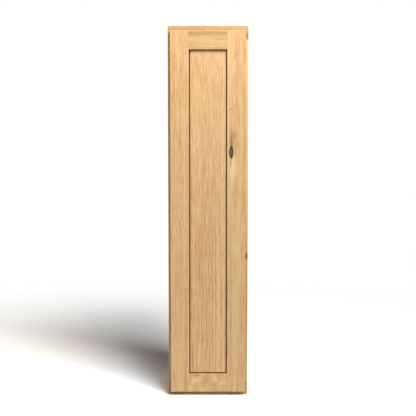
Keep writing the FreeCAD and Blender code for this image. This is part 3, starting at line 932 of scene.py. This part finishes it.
@dataclass
class Door:
    """The recessed-panel door with its bumpers and the plugs that centre its panel."""

    cabinet: Cabinet
    upper_tones: Tones = Tones(srgb(214, 188, 144), srgb(219, 185, 138), srgb(189, 152, 104))
    lower_tones: Tones = Tones(srgb(250, 216, 166), srgb(221, 185, 136), srgb(206, 168, 119))
    big_knot: Knot = Knot(
        across=0.0663, along=0.71, half_width=6 * MM, half_length=17 * MM,
        tail=40 * MM, tail_lift=0.6, glow=0.8,
    )
    lower_tail: Knot = Knot(
        across=0.0645, along=0.679, half_width=1.6 * MM, half_length=13 * MM,
        heart=srgb(186, 128, 76), rim=srgb(200, 144, 92), strength=0.8,
    )
    branch: Knot = Knot(
        across=0.075, along=0.756, half_width=5 * MM, half_length=9 * MM,
        heart=srgb(170, 124, 74), rim=srgb(186, 140, 90), strength=0.4,
    )
    low_swirl: Knot = replace(
        branch, across=0.0656, along=0.8325, half_width=4 * MM, half_length=5 * MM, strength=0.3
    )
    high_swirl: Knot = replace(
        branch, across=0.0757, along=0.842, half_width=3.6 * MM, half_length=8 * MM, strength=0.3
    )
    rail_fleck: Knot = Knot(
        across=0.0605, along=-0.032, half_width=1.5 * MM, half_length=5 * MM,
        heart=srgb(140, 86, 48), rim=srgb(168, 116, 72), strength=0.65,
    )
    # The painted shade in the groove starts this far behind the field's front.
    shade_behind_field: float = 0.6 * MM
    straight_grain: Pair = (0.4, 0.9)
    rubber: Moulded = Moulded("spacer_rubber", srgb(40, 40, 42), srgb(62, 61, 60), roughness=0.7)
    clear: Moulded = Moulded(
        "clear_bumper", srgb(235, 237, 234), srgb(224, 228, 226), roughness=0.12, clearness=0.85
    )
    bumper_sides: int = 32
    bumper_rings: int = 8
    bumper_rim: float = 0.5 * MM
    bumper_crown: float = 0.03

    def build(self) -> None:
        """Dresses the door's boards and plugs and makes its bumpers."""
        board = self.cabinet.board
        marks = (self.big_knot, self.branch, self.lower_tail, self.low_swirl, self.high_swirl)
        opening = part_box("door_latch_stile")[0].x
        joints = (-opening, opening)
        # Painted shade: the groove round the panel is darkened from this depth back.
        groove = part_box("door_panel")[0].y + self.shade_behind_field
        board("door_hinge_stile", Grain.UPRIGHT, 31.3)
        board("door_latch_stile", Grain.UPRIGHT, 33.8, knots=marks)
        board("door_upper_rail", Grain.LEVEL, 35.18, tones=self.upper_tones, joints=joints, band_share=1.9)
        board(
            "door_lower_rail", Grain.LEVEL, 37.5, tones=self.lower_tones, joints=joints,
            streak_share=0.25, fibre_share=0.5, line_share=0.1,
            blotch_share=1.1, blotch_cells=36.0, blotch_stretch=0.8, knots=(self.rail_fleck,),
        )
        board(
            "door_panel", Grain.UPRIGHT, 41.6, hue_share=0.3, streak_share=1.1, line_share=1.1,
            lines_below=self.straight_grain, pore_share=0.5, stained_behind=groove,
        )
        self.cabinet.dress(self.rubber, "panel_spacers")
        self._bumpers()

    def _bumpers(self) -> None:
        """Makes the clear domes on the door's back."""
        mesh = bmesh.new()
        for island in islands(self.cabinet.nodes["door_bumpers"]):
            radius = island.size.x / 2
            height = island.size.y
            profile = [(radius, 0.0), (radius, self.bumper_rim)]
            for ring in range(1, self.bumper_rings):
                turn = math.pi / 2 * ring / self.bumper_rings
                rise = (height - self.bumper_rim) * math.sin(turn)
                profile.append((radius * math.cos(turn), self.bumper_rim + rise))
            profile.append((radius * self.bumper_crown, height))
            seat = Vector((island.middle.x, island.low.y, island.middle.z))
            ring_skin(mesh, lathe(profile, self.bumper_sides), turned(Vector((0, 1, 0)), seat))
        clear = self.clear.material()
        self.cabinet.replace("door_bumpers", "door_bumper_domes", "door", mesh, clear, "clear_bumper")


@dataclass(frozen=True)
class Screw:
    """A screw with a crossed recess and a thread, upright with the underside of its head at the origin."""

    head_radius: float = 3.2 * MM
    head_height: float = 1.6 * MM
    cheek_height: float = 0.5 * MM
    dome_shares: Triple = (0.35, 0.7, 1.0)
    shank_radius: float = 1.25 * MM
    thread_radius: float = 1.6 * MM
    thread_pitch: float = 1.6 * MM
    ridge_steepness: float = 4.0
    rings_a_turn: int = 4
    tip_length: float = 3.0 * MM
    tip_radius: float = 0.05 * MM
    cross_arm: float = 1.75 * MM
    cross_half_width: float = 0.45 * MM
    cross_depth: float = 1.3 * MM
    # The recess's floor and the foot of its walls, as shares of its reach and depth.
    floor_reach: float = 0.12
    wall_reach: float = 0.72
    wall_depth: float = 0.8

    def rings(self, length: float) -> list[list[Vector]]:
        """The rings of the screw, from the floor of its recess over its head to its point.

        Args:
            length: From under the head to the point.

        Returns:
            The rings.
        """
        top = self.head_height
        wall_foot = top - self.wall_depth * self.cross_depth
        shape: list[Callable[[float], Pair]] = [
            lambda turn: (self.floor_reach * self._cross_reach(turn), top - self.cross_depth),
            lambda turn: (self.wall_reach * self._cross_reach(turn), wall_foot),
        ]
        for share in (0.0, *self.dome_shares):
            shape.append(lambda turn, share=share: self._dome_point(turn, share))
        shape += [lambda turn: (self.head_radius, 0.0), lambda turn: (self.shank_radius, 0.0)]
        thread = length - self.tip_length
        count = max(1, round(thread / self.thread_pitch * self.rings_a_turn))
        for ring in range(1, count + 1):
            drop = thread * ring / count
            shape.append(lambda turn, drop=drop: (self._ridge_radius(turn, drop), -drop))
        shape.append(lambda turn: (self.tip_radius, -length))
        rings = []
        for ring in shape:
            spots = [(turn, *ring(turn)) for turn in self._turns()]
            rings.append([Vector((r * math.cos(turn), r * math.sin(turn), z)) for turn, r, z in spots])
        return rings

    def _turns(self) -> list[float]:
        """Spaces the points of a ring, with one at each corner of the crossed recess.

        Returns:
            The points' angles about the axis.
        """
        corner = math.atan2(self.cross_half_width, self.cross_arm)
        quarter = [0.0, corner, (corner + math.pi / 4) / 2, math.pi / 4]
        quarter += [math.pi / 2 - turn for turn in reversed(quarter[1:3])]
        return [turn + math.pi / 2 * side for side in range(4) for turn in quarter]

    def _cross_reach(self, turn: float) -> float:
        """The distance from the axis to the edge of the recess, at an angle about the axis."""
        short_side, long_side = sorted((abs(math.cos(turn)), abs(math.sin(turn))))
        return 1 / max(long_side / self.cross_arm, short_side / self.cross_half_width)

    def _dome_point(self, turn: float, share: float) -> Pair:
        """A point of the head, a share of the way from the recess's edge to the rim."""
        radius = self._cross_reach(turn) * (1 - share) + self.head_radius * share
        return radius, self._dome_height(radius)

    def _dome_height(self, radius: float) -> float:
        """The height of the domed head, at a distance from the axis."""
        level = math.sqrt(max(0.0, 1 - (radius / self.head_radius) ** 2))
        return self.cheek_height + (self.head_height - self.cheek_height) * level

    def _ridge_radius(self, turn: float, drop: float) -> float:
        """The radius of the thread, at an angle about the axis and a depth below the head."""
        ridge = 1 - self.ridge_steepness * abs((drop / self.thread_pitch - turn / (2 * math.pi)) % 1.0 - 0.5)
        return self.shank_radius + (self.thread_radius - self.shank_radius) * max(0.0, ridge)


@dataclass(frozen=True)
class Damper:
    """A closing damper's outline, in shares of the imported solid's radius and of its length."""

    sides: int = 28
    cap: tuple[Pair, ...] = ((0.3, 0.0), (0.8, 0.0), (0.92, 0.03), (0.92, 0.1), (0.8, 0.12), (0.8, 0.16))
    barrel: float = 1.0
    barrel_ends: Pair = (0.18, 0.66)
    grooves: Pair = (0.32, 0.48)
    groove_half: float = 0.02
    groove_floor: float = 0.94
    nose: tuple[Pair, ...] = ((0.9, 0.7), (0.52, 0.71))
    plunger: tuple[Pair, ...] = ((0.34, 0.72), (0.34, 0.9))
    button: tuple[Pair, ...] = ((0.6, 0.91), (0.64, 0.96), (0.5, 1.0), (0.1, 1.0))

    def rings(self, radius: float, length: float) -> list[list[Vector]]:
        """Turns the damper's outline.

        Args:
            radius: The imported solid's radius.
            length: Its length.

        Returns:
            The rings, from the capped end to the button.
        """
        start, end = self.barrel_ends
        barrel = [(self.barrel, start)]
        for groove in self.grooves:
            barrel.append((self.barrel, groove - self.groove_half))
            barrel.append((self.groove_floor, groove))
            barrel.append((self.barrel, groove + self.groove_half))
        barrel.append((self.barrel, end))
        outline = (*self.cap, *barrel, *self.nose, *self.plunger, *self.button)
        return lathe([(radius * share, length * place) for share, place in outline], self.sides)


@dataclass
class Hinges:
    """The concealed hinges with their screws and dampers, and the shelf pins, which are plated too."""

    cabinet: Cabinet
    levels: tuple[str, ...] = ("lower", "middle", "upper")
    plated: tuple[str, ...] = ("hinge_cup", "hinge_pin", "hinge_arm", "hinge_plate")
    steel: PlatedSteel = PlatedSteel()
    pin_steel: PlatedSteel = PlatedSteel("shelf_pin_nickel", srgb(200, 197, 190), srgb(150, 146, 138), 0.3)
    zinc: PlatedSteel = PlatedSteel("zinc_screws", srgb(190, 190, 192), srgb(128, 128, 130), 0.32)
    plastic: Moulded = Moulded("damper_plastic", srgb(58, 60, 64), srgb(78, 80, 84), roughness=0.42)
    screw: Screw = Screw()
    damper: Damper = Damper()

    def build(self) -> None:
        """Dresses the plated pieces and makes the screws and dampers."""
        plated = [f"{level}_{part}" for level in self.levels for part in self.plated]
        self.cabinet.dress(self.steel, *plated)
        self.cabinet.dress(self.pin_steel, *(f"{level}_shelf_pins" for level in self.levels))
        zinc = self.zinc.material()
        self._screws("hinge_plate_screws", "cabinet", zinc)
        self._screws("hinge_arm_screws", "cabinet", zinc)
        self._screws("hinge_cup_screws", "door", zinc)
        self._dampers()

    def _screws(self, node: str, body: str, zinc: bpy.types.Material) -> None:
        """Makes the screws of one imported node.

        Args:
            node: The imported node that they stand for.
            body: The body that they move with.
            zinc: Their material.
        """
        mesh = bmesh.new()
        for island in islands(self.cabinet.nodes[node]):
            size = island.size
            axis = max(range(3), key=lambda index: size[index])
            outward = Vector((0.0, 0.0, 0.0))
            outward[axis] = 1.0
            seat = island.middle
            seat[axis] = island.high[axis] - self.screw.head_height
            rings = self.screw.rings(size[axis] - self.screw.head_height)
            ring_skin(mesh, rings, turned(outward, seat))
        self.cabinet.replace(node, f"{node}_cross_head", body, mesh, zinc, "nickel_steel")

    def _dampers(self) -> None:
        """Makes the closing dampers, which lie crosswise on the door."""
        plastic = self.plastic.material()
        for level in self.levels:
            node = f"{level}_hinge_damper"
            low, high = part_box(node)
            seat = Vector((low.x, (low.y + high.y) / 2, (low.z + high.z) / 2))
            rings = self.damper.rings((high.z - low.z) / 2, high.x - low.x)
            mesh = bmesh.new()
            ring_skin(mesh, rings, turned(Vector((1, 0, 0)), seat))
            self.cabinet.replace(node, f"{node}_barrel", "door", mesh, plastic, "damper_plastic")


@dataclass(frozen=True)
class Sun:
    """A far lamp, by the direction that it shines from."""

    name: str
    direction: Triple
    strength: float
    softness: float
    colour: Triple = (1.0, 1.0, 1.0)


@dataclass
class Studio:
    """The floor, the light and the camera."""

    camera_distance: float = 3.6975
    camera_pitch: float = math.radians(6.8)
    lens: float = 111.2
    sensor: float = 36.0
    aim_above_middle: float = 14.7 * MM
    floor_size: float = 60.0
    # The floor's colours are above 1 where it is seen, so that it looks white where it is lit.
    floor_seen: Colour = grey(2.08)
    # Beside the cabinet the floor is painted cooler, to cancel the warm light that the wood throws into its
    # shadow.
    floor_beside: Colour = (1.95, 2.12, 2.4, 1.0)
    beside_ends: Pair = (0.14, 0.7)
    floor_fades: Pair = (1.0, 1.9)
    floor_bounce: Colour = grey(0.5)
    ambient: float = 0.02
    suns: tuple[Sun, ...] = (
        Sun("main_light", (0.53, -1.0, 0.9), 1.89, math.radians(38)),
        Sun("fill_light", (-1.0, -0.8, 0.06), 0.7, math.radians(12), (1.0, 0.99, 0.95)),
        Sun("back_light", (0.4, 1.0, 0.04), 0.5, math.radians(6)),
    )
    top_place: Triple = (0.3, -0.85, 1.9)
    top_power: float = 4.4
    top_size: float = 0.5
    top_spread: float = math.radians(100)
    top_colour: Triple = (1.0, 0.89, 0.72)

    def build(self, low: Vector, high: Vector) -> None:
        """Sets the stage.

        Args:
            low: The cabinet's lowest corner.
            high: Its highest corner.
        """
        frame_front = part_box("frame_upper_rail")[0].y
        middle = Vector((0.0, frame_front, (low.z + high.z) / 2))
        self._floor()
        self._world()
        for sun in self.suns:
            self._sun(sun, middle)
        self._top_light(Vector((middle.x, middle.y, 2 * middle.z)))
        self._camera(middle)
        bpy.context.scene.view_settings.view_transform = "Standard"

    def _floor(self) -> None:
        """Lays a pale floor that looks white where it is lit, and fades into the white backdrop."""
        half = self.floor_size / 2
        data = bpy.data.meshes.new("studio_floor")
        corners = [(-half, -half, 0), (half, -half, 0), (half, half, 0), (-half, half, 0)]
        data.from_pydata(corners, [], [(0, 1, 2, 3)])
        floor = bpy.data.objects.new("studio_floor", data)
        bpy.context.scene.collection.objects.link(floor)
        floor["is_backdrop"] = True
        material = bpy.data.materials.new("studio_floor")
        graph = Graph(material)
        x, y, _ = graph.place()
        distance = (x * x + y * y).root()
        tints = (self.floor_seen, self.floor_beside, self.floor_bounce)
        pale, cool, hidden = (graph.node("ShaderNodeBsdfDiffuse", inputs={"Color": tint}) for tint in tints)
        # Painted cooler floor beside the cabinet, against the wood's warm bounced light.
        near = graph.mix_shader(distance.rise(*self.beside_ends), cool, pale)
        white = graph.node("ShaderNodeEmission")
        shown = graph.mix_shader(distance.rise(*self.floor_fades), near, white)
        graph.surface(graph.mix_shader(graph.seen(), hidden, shown))
        data.materials.append(material)

    def _world(self) -> None:
        """Makes a world that looks white and lights the object softly."""
        world = bpy.data.worlds.new("studio_world")
        bpy.context.scene.world = world
        graph = Graph(world)
        soft = graph.node("ShaderNodeBackground", inputs={"Strength": self.ambient})
        white = graph.node("ShaderNodeBackground", inputs={"Color": grey(1.0)})
        graph.surface(graph.mix_shader(graph.seen(), soft, white))

    def _sun(self, sun: Sun, middle: Vector) -> None:
        """Hangs a far lamp.

        Args:
            sun: The lamp.
            middle: The middle of the cabinet's front, which it points at.
        """
        data = bpy.data.lights.new(sun.name, "SUN")
        data.energy = sun.strength
        data.angle = sun.softness
        data.color = sun.colour
        self._aim(bpy.data.objects.new(sun.name, data), middle + Vector(sun.direction), middle)

    def _top_light(self, crown: Vector) -> None:
        """Hangs the small lamp that lifts the cabinet's upper half.

        Args:
            crown: The top of the cabinet's front, which it points at.
        """
        data = bpy.data.lights.new("top_light", "AREA")
        data.energy = self.top_power
        data.size = self.top_size
        data.color = self.top_colour
        data.spread = self.top_spread
        self._aim(bpy.data.objects.new("top_light", data), Vector(self.top_place), crown)

    def _camera(self, middle: Vector) -> None:
        """Sets the camera where the photograph was taken from.

        Args:
            middle: The middle of the cabinet's front.
        """
        data = bpy.data.cameras.new("camera")
        data.lens = self.lens
        data.sensor_width = self.sensor
        away = Vector((0.0, -math.cos(self.camera_pitch), math.sin(self.camera_pitch)))
        camera = bpy.data.objects.new("camera", data)
        aim = middle + Vector((0.0, 0.0, self.aim_above_middle))
        self._aim(camera, middle + away * self.camera_distance, aim)
        bpy.context.scene.camera = camera

    @staticmethod
    def _aim(thing: bpy.types.Object, place: Vector, target: Vector) -> None:
        """Links a lamp or camera to the scene and points it.

        Args:
            thing: The object.
            place: Where it stands.
            target: What it points at.
        """
        thing.location = place
        thing.rotation_euler = (target - place).to_track_quat("-Z", "Y").to_euler()
        bpy.context.scene.collection.objects.link(thing)


def main() -> None:
    """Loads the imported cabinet, dresses it and sets the studio round its bounds."""
    logging.basicConfig(level=logging.INFO, format="%(message)s")
    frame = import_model()
    solid_low, solid_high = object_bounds()
    cabinet = Cabinet(frame["nodes"])
    for assembly in (Case(cabinet), FaceFrame(cabinet), Door(cabinet), Hinges(cabinet)):
        assembly.build()
        LOG.info("finished %s", type(assembly).__name__)
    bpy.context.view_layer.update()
    Studio().build(solid_low, solid_high)


if __name__ == "__main__":
    main()
